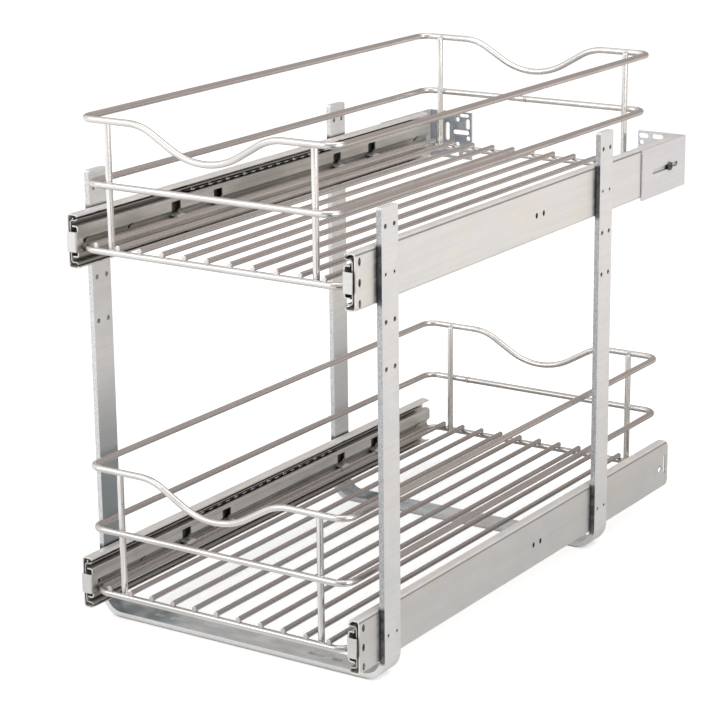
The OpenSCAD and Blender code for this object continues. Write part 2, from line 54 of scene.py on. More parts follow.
SLIDE_AT = {"lower": 39.8 * MM, "upper": 338.6 * MM}    # height of the middle of each slide
SLIDE_STEP = SLIDE_AT["upper"] - SLIDE_AT["lower"]
SLIDE_HALF = 23 * MM            # half the height of a slide
# where painted shade goes round the slots of the outer members
SLOT_SHADE_SPOTS = (                  # y, z, half y and half z, from the front of a slide and its middle
    (5.7 * MM, -17.5 * MM, 1.8 * MM, 3.3 * MM),
    (5.7 * MM, -0.9 * MM, 1.8 * MM, 3.3 * MM),
    (5.7 * MM, 15.7 * MM, 1.8 * MM, 3.3 * MM),
    (282.3 * MM, -1.3 * MM, 2.0 * MM, 2.5 * MM),
    (294.6 * MM, -1.3 * MM, 2.0 * MM, 2.5 * MM),
)
RAIL_R = 2.8 * MM               # radius of the wire of the rails and uprights
FLOOR_R = 2.3 * MM              # and of the floor wires
FLOOR_COUNT = 11                # floor wires in a basket
WELD_SINK = 0.3 * MM            # how far two welded wires sink into each other
NUGGET_R = 1.7 * MM             # spread of the weld metal round each crossing
NUGGET_BEAD = 0.50 * MM         # radius of its rounded rim
NUGGET_SINK = 0.10 * MM         # how far it reaches into both wires
BUTT_WELD_X = {"lower": -83 * MM, "upper": -7.5 * MM}   # where the middle rails are joined
BALL_COUNT = 9                  # balls in a row of a cage
LUG_PITCH = 13 * MM             # half the pitch of the balls
LUG_HALF = 2.8 * MM             # half the length of a cage lug
LUG_INSIDE = 0.10 * MM          # how far a lug reaches back over its cage's edge
LUG_OUTSIDE = 0.24 * MM         # how far it stands out from there
LUG_NEAR = 0.10 * MM            # from the cage's top or bottom to the near side of a lug
LUG_FAR = 1.15 * MM             # and to its far side
LUG_ROUND = 0.08 * MM           # rounding of its edges

# ---- Camera, fitted to the photograph ----

PHOTO_SIDE = 720                # the photograph is this many pixels wide and high
FOCAL_PX = 2407.3               # focal length of the photograph, in its pixels
SENSOR = 36.0                   # width of Blender's sensor, in millimetres
CAMERA_AT = (1.1181, -1.7646, 0.7835)
CAMERA_TURN = (74.101, 0.603, 33.147)   # in degrees
CLIP_START = 0.05
CLIP_END = 60

# ---- Floor, world and lamps ----

FLOOR_HALF = 14                         # half its width
FLOOR_DROP = 0.3 * MM                   # how far it lies below the object
FLOOR_COLOUR = (0.84, 0.835, 0.825)
FLOOR_GLOW = (0.50, 0.50, 0.50)         # brings the lit floor up to white for the camera
FLOOR_AHEAD = (1.11, 1.11, 1.11)        # what metal sees of the floor at the front left
FLOOR_BEHIND = (0.70, 0.64, 0.60)       # and of the floor behind
# painted shadow of the object on the floor beside it, and painted light at the front left
FLOOR_SHADOW_LEVEL = 0.40                        # level of that floor beside the object
FLOOR_LIT = 0.88                        # its least level at the front left
# painted shadow of the camera's stand on the floor
STAND_ASIDE = 0.06                      # the camera's stand, to the right of the line to the camera
STAND_HALF = 0.15                       # half its width
WORLD_LIGHT = (0.63, 0.63, 0.63)
WALL = (0.95, 0.95, 0.95)               # what metal sees round the object
BACK_WALL = (0.43, 0.37, 0.35)
ROOM_WALL = (0.46, 0.45, 0.44)          # the unlit room on the camera's side
WHITE = (1, 1, 1)
TOWARD_SOFTBOX = (-0.5, -0.86, 0)
TOWARD_CAMERA = (0.549, -0.836, 0)
CAMERA_RIGHT = (0.836, 0.549, 0)
TOWARD_ROOM = (0.75, -0.66, 0)
TOWARD_FRONT = (0, -1, 0)
TOWARD_BACK = (0, 1, 0)
LAMPS_AIM = Vector((0, 0, 0.2))         # the middle of the object
LAMPS = (                               # name, place, width and height, watts
    ("front_left_softbox", (-1.6, -2.6, 1.9), (2.0, 1.4), 18),
    ("overhead", (0.3, 0.2, 2.8), (2.4, 2.4), 17),
    ("right_fill", (2.6, -0.6, 1.0), (1.6, 1.4), 22),
)

# ---- Metals, and the colours of their marks and of painted shade ----

BEVEL_SAMPLES = 4
RECESS_SAMPLES = 6
RECESS_REACH = 4 * MM                   # how far off a surface closes a recess in
# painted shade deep in holes, slots and the narrow gaps of the slides
RECESS_SHADE = (0.012, 0.012, 0.013)
WORN_ZINC = (0.94, 0.94, 0.93)
WORN_NICKEL = (0.90, 0.86, 0.84)
WORN_STEEL = (0.85, 0.85, 0.86)
# painted shade on the wires low down, near the floor
LOW_NICKEL_SHADE = (0.30, 0.29, 0.285)
SHEARED_EDGE = (0.34, 0.35, 0.38)
# painted shade on the inner faces of the legs
SHADED_INNER_FACE = (0.17, 0.215, 0.235)
BLUED_FOOT = (0.76, 0.89, 0.95)
STAINED_FOOT = (0.22, 0.27, 0.30)
CLOUDED_FOOT = (0.40, 0.44, 0.46)
# painted shade on the front edges of the legs beside the slides
EDGE_SHADE = (0.035, 0.037, 0.045)
# painted shade on the slides along the front edge of each strap
STRAP_SHADE_ON_SLIDE = (0.09, 0.092, 0.10)
# painted shade along the rolled bends of the outer members
BEND_SHADE = (0.16, 0.155, 0.15)
# painted shade on the lower slides
LOWER_SLIDE_SHADE = (0.40, 0.39, 0.385)
# painted shade round the slots of the outer members
SLOT_SHADE = (0.02, 0.02, 0.021)
# painted shade on the rear flange of the left bracket
LEFT_FLANGE_SHADE = (0.38, 0.42, 0.465)
# painted shade on the front edge of the right side plate
FRONT_EDGE_SHADE = (0.05, 0.05, 0.055)
WEB_DARK = (0.76, 0.75, 0.71)
WEB_LIGHT = (0.91, 0.90, 0.86)
WEB_SMEAR = (0.34, 0.33, 0.32)
# painted shade on the web of an inner member, below the middle of the slide
WEB_SHADE = (0.24, 0.205, 0.185)


# ---- Node trees ----

class Tree:
    """A node tree being put together: most calls add a node and return its output."""

    def __init__(self, owner):
        owner.use_nodes = True
        self.nodes = owner.node_tree.nodes
        self.links = owner.node_tree.links
        self.nodes.clear()

    def fill(self, socket, value):
        """Links an output to the socket, or sets the socket to a number, a direction or a colour."""
        if hasattr(value, "node"):
            self.links.new(value, socket)
        elif socket.type == "RGBA":
            socket.default_value = (*value, 1)
        elif value is not None:
            socket.default_value = value

    def add(self, kind, *inputs, **options):
        """Adds a node, sets its options and fills its inputs in order."""
        node = self.nodes.new(kind)
        for key, value in options.items():
            setattr(node, key, value)
        for socket, value in zip(node.inputs, inputs):
            self.fill(socket, value)
        return node

    def math(self, operation, a, b=None):
        return self.add("ShaderNodeMath", a, b, operation=operation).outputs[0]

    def product(self, *values):
        total = values[0]
        for value in values[1:]:
            total = self.math("MULTIPLY", total, value)
        return total

    def largest(self, *values):
        total = values[0]
        for value in values[1:]:
            total = self.math("MAXIMUM", total, value)
        return total

    def along(self, vector, direction):
        """How far the vector goes in a direction."""
        node = self.add("ShaderNodeVectorMath", vector, direction, operation="DOT_PRODUCT")
        return node.outputs["Value"]

    def length(self, vector):
        return self.add("ShaderNodeVectorMath", vector, operation="LENGTH").outputs["Value"]

    def smooth(self, value, start, end):
        """0 before start, 1 past end, and a smooth rise from one to the other, either way."""
        ends = (start, end, 0.0, 1.0) if start < end else (end, start, 1.0, 0.0)
        node = self.add("ShaderNodeMapRange", value, *ends, interpolation_type="SMOOTHSTEP")
        return node.outputs[0]

    def between(self, value, low, high):
        """Spreads a value of 0 to 1 over low to high."""
        return self.add("ShaderNodeMapRange", value, 0.0, 1.0, low, high).outputs[0]

    def mix(self, factor, a, b):
        """Colour a where the factor is 0, colour b where it is 1."""
        node = self.add("ShaderNodeMix", data_type="RGBA")
        for key, value in (("Factor", factor), ("A", a), ("B", b)):
            self.fill(node.inputs[key], value)
        return node.outputs["Result"]

    def blend(self, factor, a, b):
        """Shader a where the factor is 0, shader b where it is 1."""
        return self.add("ShaderNodeMixShader", factor, a, b).outputs[0]


# ---- Stage: camera, floor, world and lamps ----

def make_camera():
    data = bpy.data.cameras.new("camera")
    data.sensor_width = SENSOR
    data.lens = FOCAL_PX / PHOTO_SIDE * SENSOR
    data.clip_start = CLIP_START
    data.clip_end = CLIP_END
    camera = bpy.data.objects.new("camera", data)
    camera.location = CAMERA_AT
    camera.rotation_euler = [math.radians(angle) for angle in CAMERA_TURN]
    bpy.context.scene.collection.objects.link(camera)
    bpy.context.scene.camera = camera


def stand_shadow(tree, place):
    """Painted shadow: 1 on the floor where the camera's stand shades it, a narrow dark place in the
    reflections.
    """
    ahead = tree.smooth(tree.along(place, TOWARD_CAMERA), 0.36, 0.75)
    aside = tree.math("ABSOLUTE", tree.math("SUBTRACT", tree.along(place, CAMERA_RIGHT), STAND_ASIDE))
    return tree.product(tree.smooth(aside, STAND_HALF + 0.10, STAND_HALF - 0.05), ahead)


def mirrored_floor(tree):
    """What metal sees of the floor, with painted light and shadow: bright ahead and at the front left, where
    the softbox lights it, warm grey behind, with the object's painted shadow beside it, and dark where the
    camera's stand shades it.
    """
    place = tree.add("ShaderNodeTexCoord").outputs["Object"]
    far = tree.length(place)
    left = tree.smooth(tree.along(place, TOWARD_SOFTBOX), -0.75, 0.85)
    colour = tree.mix(left, FLOOR_BEHIND, FLOOR_AHEAD)
    beside = tree.add("ShaderNodeMapRange", far, 0.25, 1.15, FLOOR_SHADOW_LEVEL, 1.0).outputs[0]
    lit = tree.product(left, FLOOR_LIT)
    ahead = tree.smooth(tree.along(place, TOWARD_FRONT), 0.250, 0.262)
    close = tree.product(ahead, tree.smooth(far, 0.44, 0.34))
    clear = tree.math("SUBTRACT", 1.0, stand_shadow(tree, place))
    strength = tree.product(clear, tree.largest(beside, lit, close))
    return tree.add("ShaderNodeEmission", colour, strength).outputs[0]


def straight_rays(tree, path):
    """1 for what the camera sees straight or through glass."""
    return tree.largest(path.outputs["Is Camera Ray"], path.outputs["Is Transmission Ray"])


def make_floor():
    """Pale floor: white to the camera, with the object's shadow."""
    material = bpy.data.materials.new("floor")
    tree = Tree(material)
    path = tree.add("ShaderNodeLightPath")
    diffuse = tree.add("ShaderNodeBsdfDiffuse", FLOOR_COLOUR)
    glow = tree.add("ShaderNodeEmission", FLOOR_GLOW, straight_rays(tree, path))
    lit = tree.add("ShaderNodeAddShader", diffuse.outputs[0], glow.outputs[0])
    floor_shader = tree.blend(path.outputs["Is Glossy Ray"], lit.outputs[0], mirrored_floor(tree))
    tree.add("ShaderNodeOutputMaterial", floor_shader)

    mesh = bpy.data.meshes.new("floor")
    ends = (-FLOOR_HALF, FLOOR_HALF)
    rim = [(ends[0], ends[0], 0), (ends[1], ends[0], 0), (ends[1], ends[1], 0), (ends[0], ends[1], 0)]
    mesh.from_pydata(rim, [], [(0, 1, 2, 3)])
    mesh.materials.append(material)
    floor = bpy.data.objects.new("floor", mesh)
    floor.location.z = -FLOOR_DROP
    bpy.context.scene.collection.objects.link(floor)


def make_world():
    """White to the camera, soft grey for lighting, and a pale room with darker walls for reflections."""
    world = bpy.data.worlds.new("world")
    bpy.context.scene.world = world
    tree = Tree(world)
    path = tree.add("ShaderNodeLightPath")
    facing = tree.add("ShaderNodeTexCoord").outputs["Generated"]
    walls = tree.mix(tree.smooth(tree.along(facing, TOWARD_BACK), 0.0, 0.72), WALL, BACK_WALL)
    walls = tree.mix(tree.smooth(tree.along(facing, TOWARD_ROOM), 0.25, 0.80), walls, ROOM_WALL)
    lighting = tree.add("ShaderNodeBackground", WORLD_LIGHT).outputs[0]
    mirrored = tree.add("ShaderNodeBackground", walls).outputs[0]
    white = tree.add("ShaderNodeBackground", WHITE).outputs[0]
    lit = tree.blend(path.outputs["Is Glossy Ray"], lighting, mirrored)
    tree.add("ShaderNodeOutputWorld", tree.blend(straight_rays(tree, path), lit, white))


def make_lamp(name, place, size, watts):
    data = bpy.data.lights.new(name, "AREA")
    data.shape = "RECTANGLE"
    data.size, data.size_y = size
    data.energy = watts
    lamp = bpy.data.objects.new(name, data)
    lamp.location = place
    lamp.rotation_euler = (LAMPS_AIM - Vector(place)).to_track_quat("-Z", "Y").to_euler()
    bpy.context.scene.collection.objects.link(lamp)


def make_stage():
    make_camera()
    make_floor()
    make_world()
    for lamp in LAMPS:
        make_lamp(*lamp)
    bpy.context.scene.view_settings.view_transform = "Standard"


# ---- Materials ----

class Metal(Tree):
    """The material of a metal, with the place and direction of each spot on its surface."""

    def __init__(self, name, metallic=1.0):
        self.material = bpy.data.materials.new(name)
        super().__init__(self.material)
        self.bsdf = self.add("ShaderNodeBsdfPrincipled")
        self.bsdf.inputs["Metallic"].default_value = metallic
        self.add("ShaderNodeOutputMaterial", self.bsdf.outputs[0])
        self.place = self.add("ShaderNodeTexCoord").outputs["Object"]
        self.normal = self.add("ShaderNodeNewGeometry").outputs["Normal"]
        self.x, self.y, self.z = self.add("ShaderNodeSeparateXYZ", self.place).outputs
        self.to_x, self.to_y, self.to_z = self.add("ShaderNodeSeparateXYZ", self.normal).outputs

    def noise(self, scale, detail, stretch=(1, 1, 1)):
        mapping = self.add("ShaderNodeMapping", self.place)
        mapping.inputs["Scale"].default_value = stretch
        node = self.add("ShaderNodeTexNoise", mapping.outputs[0])
        node.inputs["Scale"].default_value = scale
        node.inputs["Detail"].default_value = detail
        return node.outputs["Fac"]

    def patches(self, scale, detail, stretch=(1, 1, 1)):
        return self.smooth(self.noise(scale, detail, stretch), 0.36, 0.64)

    def faces(self, direction, start=0.80, end=0.95):
        """1 on faces that look along an axis, one way or the other."""
        return self.smooth(self.math("ABSOLUTE", direction), start, end)

    def worn_edges(self, width):
        """1 along sharp edges and 0 on faces."""
        soft = self.add("ShaderNodeBevel", width, samples=BEVEL_SAMPLES)
        return self.smooth(self.along(soft.outputs[0], self.normal), 0.995, 0.90)

    def recess_shade(self):
        """Painted shade: 1 deep in holes, slots and the narrow gaps of the slides, where no light gets in.
        """
        node = self.add("ShaderNodeAmbientOcclusion", samples=RECESS_SAMPLES)
        node.inputs["Distance"].default_value = RECESS_REACH
        return self.smooth(node.outputs["AO"], 0.80, 0.36)

    def spot(self, y, z, half_y, half_z):
        """1 inside an oval, placed from the front end of the slides and the middle of the nearest one."""
        is_upper = self.math("GREATER_THAN", self.z, SLIDE_AT["lower"] + SLIDE_STEP / 2)
        off = self.math("SUBTRACT", self.z, SLIDE_AT["lower"] + z)
        off = self.math("SUBTRACT", off, self.product(is_upper, SLIDE_STEP))
        ahead = self.math("SUBTRACT", self.y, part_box("upper_right_outer_member")[0][1] + y)
        a = self.math("DIVIDE", ahead, half_y)
        b = self.math("DIVIDE", off, half_z)
        return self.smooth(self.math("ADD", self.product(a, a), self.product(b, b)), 1.25, 0.75)

    def colour(self, value):
        self.fill(self.bsdf.inputs["Base Color"], value)

    def rough(self, value):
        self.fill(self.bsdf.inputs["Roughness"], value)

    def bump(self, height, distance, strength, soft_edge=None):
        node = self.add("ShaderNodeBump")
        node.inputs["Distance"].default_value = distance
        node.inputs["Strength"].default_value = strength
        self.fill(node.inputs["Height"], height)
        if soft_edge:
            bevel = self.add("ShaderNodeBevel", soft_edge, samples=BEVEL_SAMPLES)
            self.fill(node.inputs["Normal"], bevel.outputs[0])
        self.fill(self.bsdf.inputs["Normal"], node.outputs[0])


def shade(colour, level):
    return tuple(level * value for value in colour)


def zinc(name, light, tint_a, tint_b, roughness, metallic, overlays=()):
    """Zinc plated strip: rolled along Y, tinted in patches, worn at its edges, with painted shade deep in
    its holes and gaps.
    """
    metal = Metal(name, metallic)
    clouds = metal.patches(55, 4)
    streaks = metal.patches(260, 3, (1, 0.03, 1))
    colour = metal.mix(clouds, metal.mix(metal.patches(14, 3), tint_a, tint_b), light)
    colour = metal.mix(metal.between(streaks, 0, 0.4), colour, shade(light, 0.90))
    colour = metal.mix(metal.between(metal.worn_edges(0.5 * MM), 0, 0.5), colour, WORN_ZINC)
    for overlay in overlays:
        colour = overlay(metal, colour)
    metal.colour(metal.mix(metal.recess_shade(), colour, RECESS_SHADE))
    metal.rough(metal.between(clouds, roughness - 0.04, roughness + 0.06))
    metal.bump(streaks, 0.02 * MM, 0.5, 0.5 * MM)
    return metal.material


def nickel(name, light, dark, roughness, low_shade=0.36):
    """Nickel plated wire: satin, in lighter and darker patches, bright at its ends, with painted shade that
    darkens it low down.
    """
    metal = Metal(name)
    patches = metal.patches(30, 4)
    colour = metal.mix(patches, light, dark)
    colour = metal.mix(metal.between(metal.worn_edges(0.4 * MM), 0, 0.7), colour, WORN_NICKEL)
    low = metal.smooth(metal.z, 0.13, 0.055)
    metal.colour(metal.mix(metal.between(low, 0, low_shade), colour, LOW_NICKEL_SHADE))
    metal.rough(metal.between(patches, roughness - 0.03, roughness + 0.06))
    metal.bump(metal.noise(900, 2), 0.01 * MM, 0.15)
    return metal.material


def steel(name, light, roughness, shade_in_slide=False):
    """Plain or polished steel of the cages, balls and screws, with painted shade, if asked, where it lies
    deep in a slide.
    """
    metal = Metal(name)
    spots = metal.patches(180, 3)
    colour = metal.mix(spots, light, shade(light, 0.82))
    colour = metal.mix(metal.between(metal.worn_edges(0.2 * MM), 0, 0.5), colour, WORN_STEEL)
    metal.colour(metal.mix(metal.recess_shade(), colour, RECESS_SHADE) if shade_in_slide else colour)
    metal.rough(metal.between(spots, roughness, roughness + 0.08))
    metal.bump(spots, 0.01 * MM, 0.3)
    return metal.material


# ---- Marks and painted shade on the straps ----

def sheared_edges(metal, colour):
    """Speckled edges, roughest on the right legs and least on the foot."""
    right_leg = metal.product(metal.smooth(metal.x, 0.0, 0.1), metal.smooth(metal.z, 0.03, 0.07))
    grain = metal.between(metal.smooth(metal.z, 0.01, 0.05), 0.08, 0.35)
    speckle = metal.product(metal.patches(700, 2), grain)
    rough = metal.math("ADD", metal.between(right_leg, 0.05, 0.50), speckle)
    return metal.mix(metal.product(metal.faces(metal.to_y), rough), colour, SHEARED_EDGE)


def shaded_inner_faces(metal, colour):
    """Painted shade: the legs are darker on the inside, in patches, most of all low down on the front strap.
    """
    inner = metal.smooth(metal.product(metal.to_x, metal.x), -0.08, -0.12)
    share = metal.between(metal.smooth(metal.y, -0.05, 0.05), 0.75, 0.30)
    low = metal.product(metal.smooth(metal.z, 0.25, 0.11), share)
    inner_shade = metal.largest(metal.between(metal.patches(12, 3), 0.0, 0.10), low)
    return metal.mix(metal.product(inner, inner_shade), colour, SHADED_INNER_FACE)


def stained_foot(metal, colour):
    """The top of the foot is blue in patches, and stained towards the left."""
    near_floor = metal.smooth(metal.z, 0.04, 0.01)
    top = metal.product(metal.smooth(metal.to_z, 0.80, 0.95), near_floor)
    blued = metal.between(metal.smooth(metal.x, -0.12, 0.10), 1.0, 0.35)
    blued = metal.product(top, blued, metal.between(metal.patches(26, 3), 0.05, 0.65))
    colour = metal.mix(blued, colour, BLUED_FOOT)
    foot = metal.product(metal.smooth(metal.to_z, 0.50, 0.75), near_floor)
    left = metal.smooth(metal.x, -0.045, -0.105)
    stained = metal.product(foot, left, metal.between(metal.patches(60, 3), 0.30, 0.90))
    colour = metal.mix(stained, colour, STAINED_FOOT)
    clouded = metal.product(foot, metal.between(metal.patches(34, 3, (1, 2, 1)), 0.0, 0.35))
    return metal.mix(clouded, colour, CLOUDED_FOOT)


def shade_beside_slides(metal, colour):
    """Painted shade: the front edge of a leg is dark beside each slide."""
    bands = []
    for middle in SLIDE_AT.values():
        off = metal.math("ABSOLUTE", metal.math("SUBTRACT", metal.z, middle))
        bands.append(metal.smooth(off, SLIDE_HALF + 3 * MM, SLIDE_HALF - 1 * MM))
    front = metal.smooth(metal.to_y, -0.75, -0.95)
    uneven = metal.between(metal.patches(120, 2), 0.8, 0.95)
    return metal.mix(metal.product(front, metal.largest(*bands), uneven), colour, EDGE_SHADE)


# ---- Marks and painted shade on the slides ----

def shade_ahead_of_straps(metal, colour):
    """Painted shade: a dark band along the front edge of each strap, on the face that it is riveted to."""
    bands = []
    for strap in ("front_strap", "rear_strap"):
        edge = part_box(strap)[0][1]
        rise = metal.smooth(metal.y, edge - 7 * MM, edge - 1 * MM)
        bands.append(metal.product(rise, metal.smooth(metal.y, edge + 3 * MM, edge + 1 * MM)))
    uneven = metal.between(metal.patches(150, 2), 0.6, 0.85)
    overlays = metal.product(metal.faces(metal.to_x), metal.largest(*bands), uneven)
    return metal.mix(overlays, colour, STRAP_SHADE_ON_SLIDE)


def shaded_bends(metal, colour):
    """Painted shade: a dark line along each rolled bend of the outer members."""
    turning = metal.product(metal.smooth(metal.to_z, 0.10, 0.28), metal.smooth(metal.to_z, 0.72, 0.52))
    outside = metal.smooth(metal.math("ABSOLUTE", metal.x), 0.1365, 0.1375)
    line = metal.between(metal.product(turning, outside), 0, 0.75)
    return metal.mix(line, colour, BEND_SHADE)


def shaded_lower_slides(metal, colour):
    """Painted shade: the flat faces of the lower slides are a little darker."""
    low = metal.product(metal.faces(metal.to_x), metal.smooth(metal.z, 0.12, 0.09))
    return metal.mix(metal.between(low, 0, 0.30), colour, LOWER_SLIDE_SHADE)


def shade_round_slots(metal, colour):
    """Painted shade: dark rims round the slots at the front and middle of the outer members, which widen the
    dark of the slots.
    """
    rims = metal.largest(*[metal.spot(*shade_spot) for shade_spot in SLOT_SHADE_SPOTS])
    return metal.mix(metal.product(metal.faces(metal.to_x), rims), colour, SLOT_SHADE)


def web_streaks_and_shade(metal, colour):
    """The basket side of an inner member is brown grey and streaked along the slide, with painted shade that
    darkens it below the middle of the slide.
    """
    bands = []
    for middle in SLIDE_AT.values():
        off = metal.math("SUBTRACT", metal.z, middle)
        below = metal.smooth(off, 1 * MM, -6 * MM)
        bands.append(metal.product(below, metal.smooth(off, -26 * MM, -22 * MM)))
    brown = metal.mix(metal.patches(420, 3, (1, 0.012, 1)), WEB_DARK, WEB_LIGHT)
    smears = metal.between(metal.patches(30, 3, (1, 0.35, 1)), 0, 0.5)
    brown = metal.mix(smears, brown, WEB_SMEAR)
    brown = metal.mix(metal.between(metal.largest(*bands), 0, 0.68), brown, WEB_SHADE)
    return metal.mix(metal.faces(metal.to_x, 0.60, 0.90), colour, brown)


# ---- Painted shade on the rear brackets ----

def shaded_left_flange(metal, colour):
    """Painted shade: the rear flange of the left bracket is darker and bluish."""
    left = metal.smooth(metal.x, 0.0, -0.05)
    uneven = metal.between(metal.patches(90, 3), 0.6, 0.95)
    return metal.mix(metal.product(metal.faces(metal.to_y), left, uneven), colour, LEFT_FLANGE_SHADE)


def shaded_front_edge(metal, colour):
    """Painted shade: the front edge of the right side plate is dark."""
    edge = metal.product(metal.smooth(metal.to_y, -0.80, -0.95), metal.smooth(metal.x, 0.1425, 0.1435))
    return metal.mix(metal.between(edge, 0, 0.9), colour, FRONT_EDGE_SHADE)


STRAP_MARKS_AND_SHADE = (sheared_edges, shaded_inner_faces, stained_foot, shade_beside_slides)
SLIDE_SHADE = (shade_ahead_of_straps, shaded_bends, shaded_lower_slides, shade_round_slots)
BRACKET_SHADE = (shaded_left_flange, shaded_front_edge)
INNER_MARKS_AND_SHADE = (web_streaks_and_shade,)
MATERIAL_BY_ENDING = {
    "strap": "strap",
    "rivets": "strap",
    "outer_member": "slide",
    "runner": "runner",
    "inner_member": "inner",
    "cage": "cage",
    "balls": "ball",
    "bracket": "bracket",
    "screws": "fastener",
}


def make_materials():
    return {
        "strap": zinc(
            "strap_zinc", (0.93, 0.925, 0.915), (0.89, 0.90, 0.915), (0.95, 0.925, 0.895), 0.38, 0.50,
            STRAP_MARKS_AND_SHADE),
        "slide": zinc(
            "slide_zinc", (0.92, 0.91, 0.885), (0.94, 0.91, 0.83), (0.89, 0.89, 0.905), 0.42, 0.50,
            SLIDE_SHADE),
        "bracket": zinc(
            "bracket_zinc", (0.88, 0.88, 0.905), (0.86, 0.86, 0.90), (0.90, 0.89, 0.88), 0.40, 0.55,
            BRACKET_SHADE),
        # painted shade: the runners, deep inside the slides, are a darker copy of the zinc
        "runner": zinc(
            "shaded_runner_zinc", (0.52, 0.50, 0.48), (0.50, 0.49, 0.47), (0.56, 0.52, 0.48), 0.36, 0.85),
        "inner": zinc(
            "inner_zinc", (0.80, 0.79, 0.77), (0.82, 0.80, 0.75), (0.78, 0.78, 0.79), 0.34, 0.85,
            INNER_MARKS_AND_SHADE),
        "wire": nickel("wire_nickel", (0.80, 0.78, 0.765), (0.73, 0.71, 0.69), 0.24),
        # painted highlight: the uprights are a lighter copy of the wire's nickel, for their bright streak,
        # and are not darkened low down
        "upright": nickel("lit_upright_nickel", (0.93, 0.915, 0.90), (0.87, 0.85, 0.835), 0.24, 0.0),
        "weld": nickel("weld_nickel", (0.70, 0.68, 0.66), (0.55, 0.525, 0.505), 0.34),
        "tip": nickel("tip_nickel", (0.88, 0.84, 0.82), (0.80, 0.75, 0.73), 0.36),
        "lug": steel("lug_steel", (0.93, 0.93, 0.92), 0.42),
        # the cages get painted shade where they lie deep inside the slides
        "cage": steel("cage_steel", (0.42, 0.42, 0.43), 0.35, True),
        "ball": steel("ball_steel", (0.86, 0.86, 0.88), 0.12),
        "fastener": steel("fastener_steel", (0.16, 0.16, 0.165), 0.34),
    }


def material_of(node):
    """Key of a CAD node's material, from the end of its name: the rails and wires are all the rest."""
    for ending, key in MATERIAL_BY_ENDING.items():
        if node.endswith(ending):
            return key
    return "wire"


def paint_cad(materials):
    for name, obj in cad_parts.items():
        obj.data.materials.clear()
        obj.data.materials.append(materials[material_of(name)])


# ---- Detail pieces ----

def add_piece(name, bm, body, material):
    for face in bm.faces:
        face.smooth = True
    bmesh.ops.recalc_face_normals(bm, faces=bm.faces)
    mesh = bpy.data.meshes.new(name)
    bm.to_mesh(mesh)
    bm.free()
    mesh.materials.append(material)
    piece = bpy.data.objects.new(name, mesh)
    bpy.context.scene.collection.objects.link(piece)
    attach(piece, body)
    return piece


def close_rings(bm, rings, first, last):
    """Faces between rings of vertices, each joined to the next, with a point at both ends."""
    count = len(rings[0])
    for low, high in zip(rings, rings[1:]):
        for i in range(count):
            j = (i + 1) % count
            bm.faces.new((low[i], low[j], high[j], high[i]))
    for point, ring in ((first, rings[0]), (last, rings[-1])):
        for i in range(count):
            bm.faces.new((point, ring[i], ring[(i + 1) % count]))


def turned(bm, place, axis, profile, wobble=0.0, steps=20):
    """Closed turned shape: profile has the way along the axis and the radius, and all is in mm."""
    turn = UP.rotation_difference(axis)

    def vertex(radius, angle, up):
        point = Vector((radius * math.cos(angle), radius * math.sin(angle), up))
        return bm.verts.new(place + turn @ (point * MM))

    rings = []
    for row, (up, radius) in enumerate(profile[1:-1]):
        ring = []
        for i in range(steps):
            angle = math.tau * i / steps
            uneven = wobble * math.sin(3 * angle + 2 * row) * math.sin(2 * angle + row)
            ring.append(vertex(radius + uneven, angle, up))
        rings.append(ring)
    first = vertex(0, 0, profile[0][0])
    last = vertex(0, 0, profile[-1][0])
    close_rings(bm, rings, first, last)


def nugget(bm, place, a, b, out, r_a, r_b, phase):
    """Weld metal squeezed out where a wire along a, below, crosses a wire along b, above."""
    steps = 24
    rows = 7
    rings = [[] for _ in range(rows)]
    for i in range(steps):
        angle = math.tau * i / steps
        uneven = 1 + 0.10 * math.sin(2 * angle + phase) + 0.07 * math.sin(5 * angle + 2.3 * phase)
        p = NUGGET_R * uneven * math.cos(angle)
        q = NUGGET_R * uneven * math.sin(angle)
        above = p * p / (2 * r_b)
        below = q * q / (2 * r_a)
        middle = place + p * a + q * b + (above - below) / 2 * out
        half = (above + below) / 2 + NUGGET_SINK
        away = math.cos(angle) * a + math.sin(angle) * b
        for row in range(rows):
            turn = math.radians(-90 + 180 * row / (rows - 1))
            rim = NUGGET_BEAD * math.cos(turn) * away + half * math.sin(turn) * out
            rings[row].append(bm.verts.new(middle + rim))
    low = bm.verts.new(place - WELD_SINK * out)
    high = bm.verts.new(place + WELD_SINK * out)
    close_rings(bm, rings, low, high)


def corners(node):
    low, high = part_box(node)
    return Vector(low), Vector(high)


def floor_wire_places(level):
    """X of each floor wire, evenly spaced across their box."""
    low, high = corners(f"{level}_floor_wires")
    first = low.x + FLOOR_R
    last = high.x - FLOOR_R
    return [first + (last - first) * i / (FLOOR_COUNT - 1) for i in range(FLOOR_COUNT)]


def rail_runs(level, rail):
    """Y of the front and rear runs of a rail, and the height of its upper wire."""
    low, high = corners(f"{level}_{rail}_rail")
    return low.y + RAIL_R, high.y - RAIL_R, high.z - RAIL_R


def make_floor_welds(level, materials):
    """Weld metal where the floor wires rest on the base rail."""
    bm = bmesh.new()
    front, rear, height = rail_runs(level, "base")
    z = height + RAIL_R - WELD_SINK / 2
    for i, x in enumerate(floor_wire_places(level)):
        for k, y in enumerate((front, rear)):
            nugget(bm, Vector((x, y, z)), ACROSS, LENGTHWISE, UP, RAIL_R, FLOOR_R, 1.7 * i + k)
    add_piece(f"{level}_floor_welds", bm, f"{level}_basket", materials["weld"])


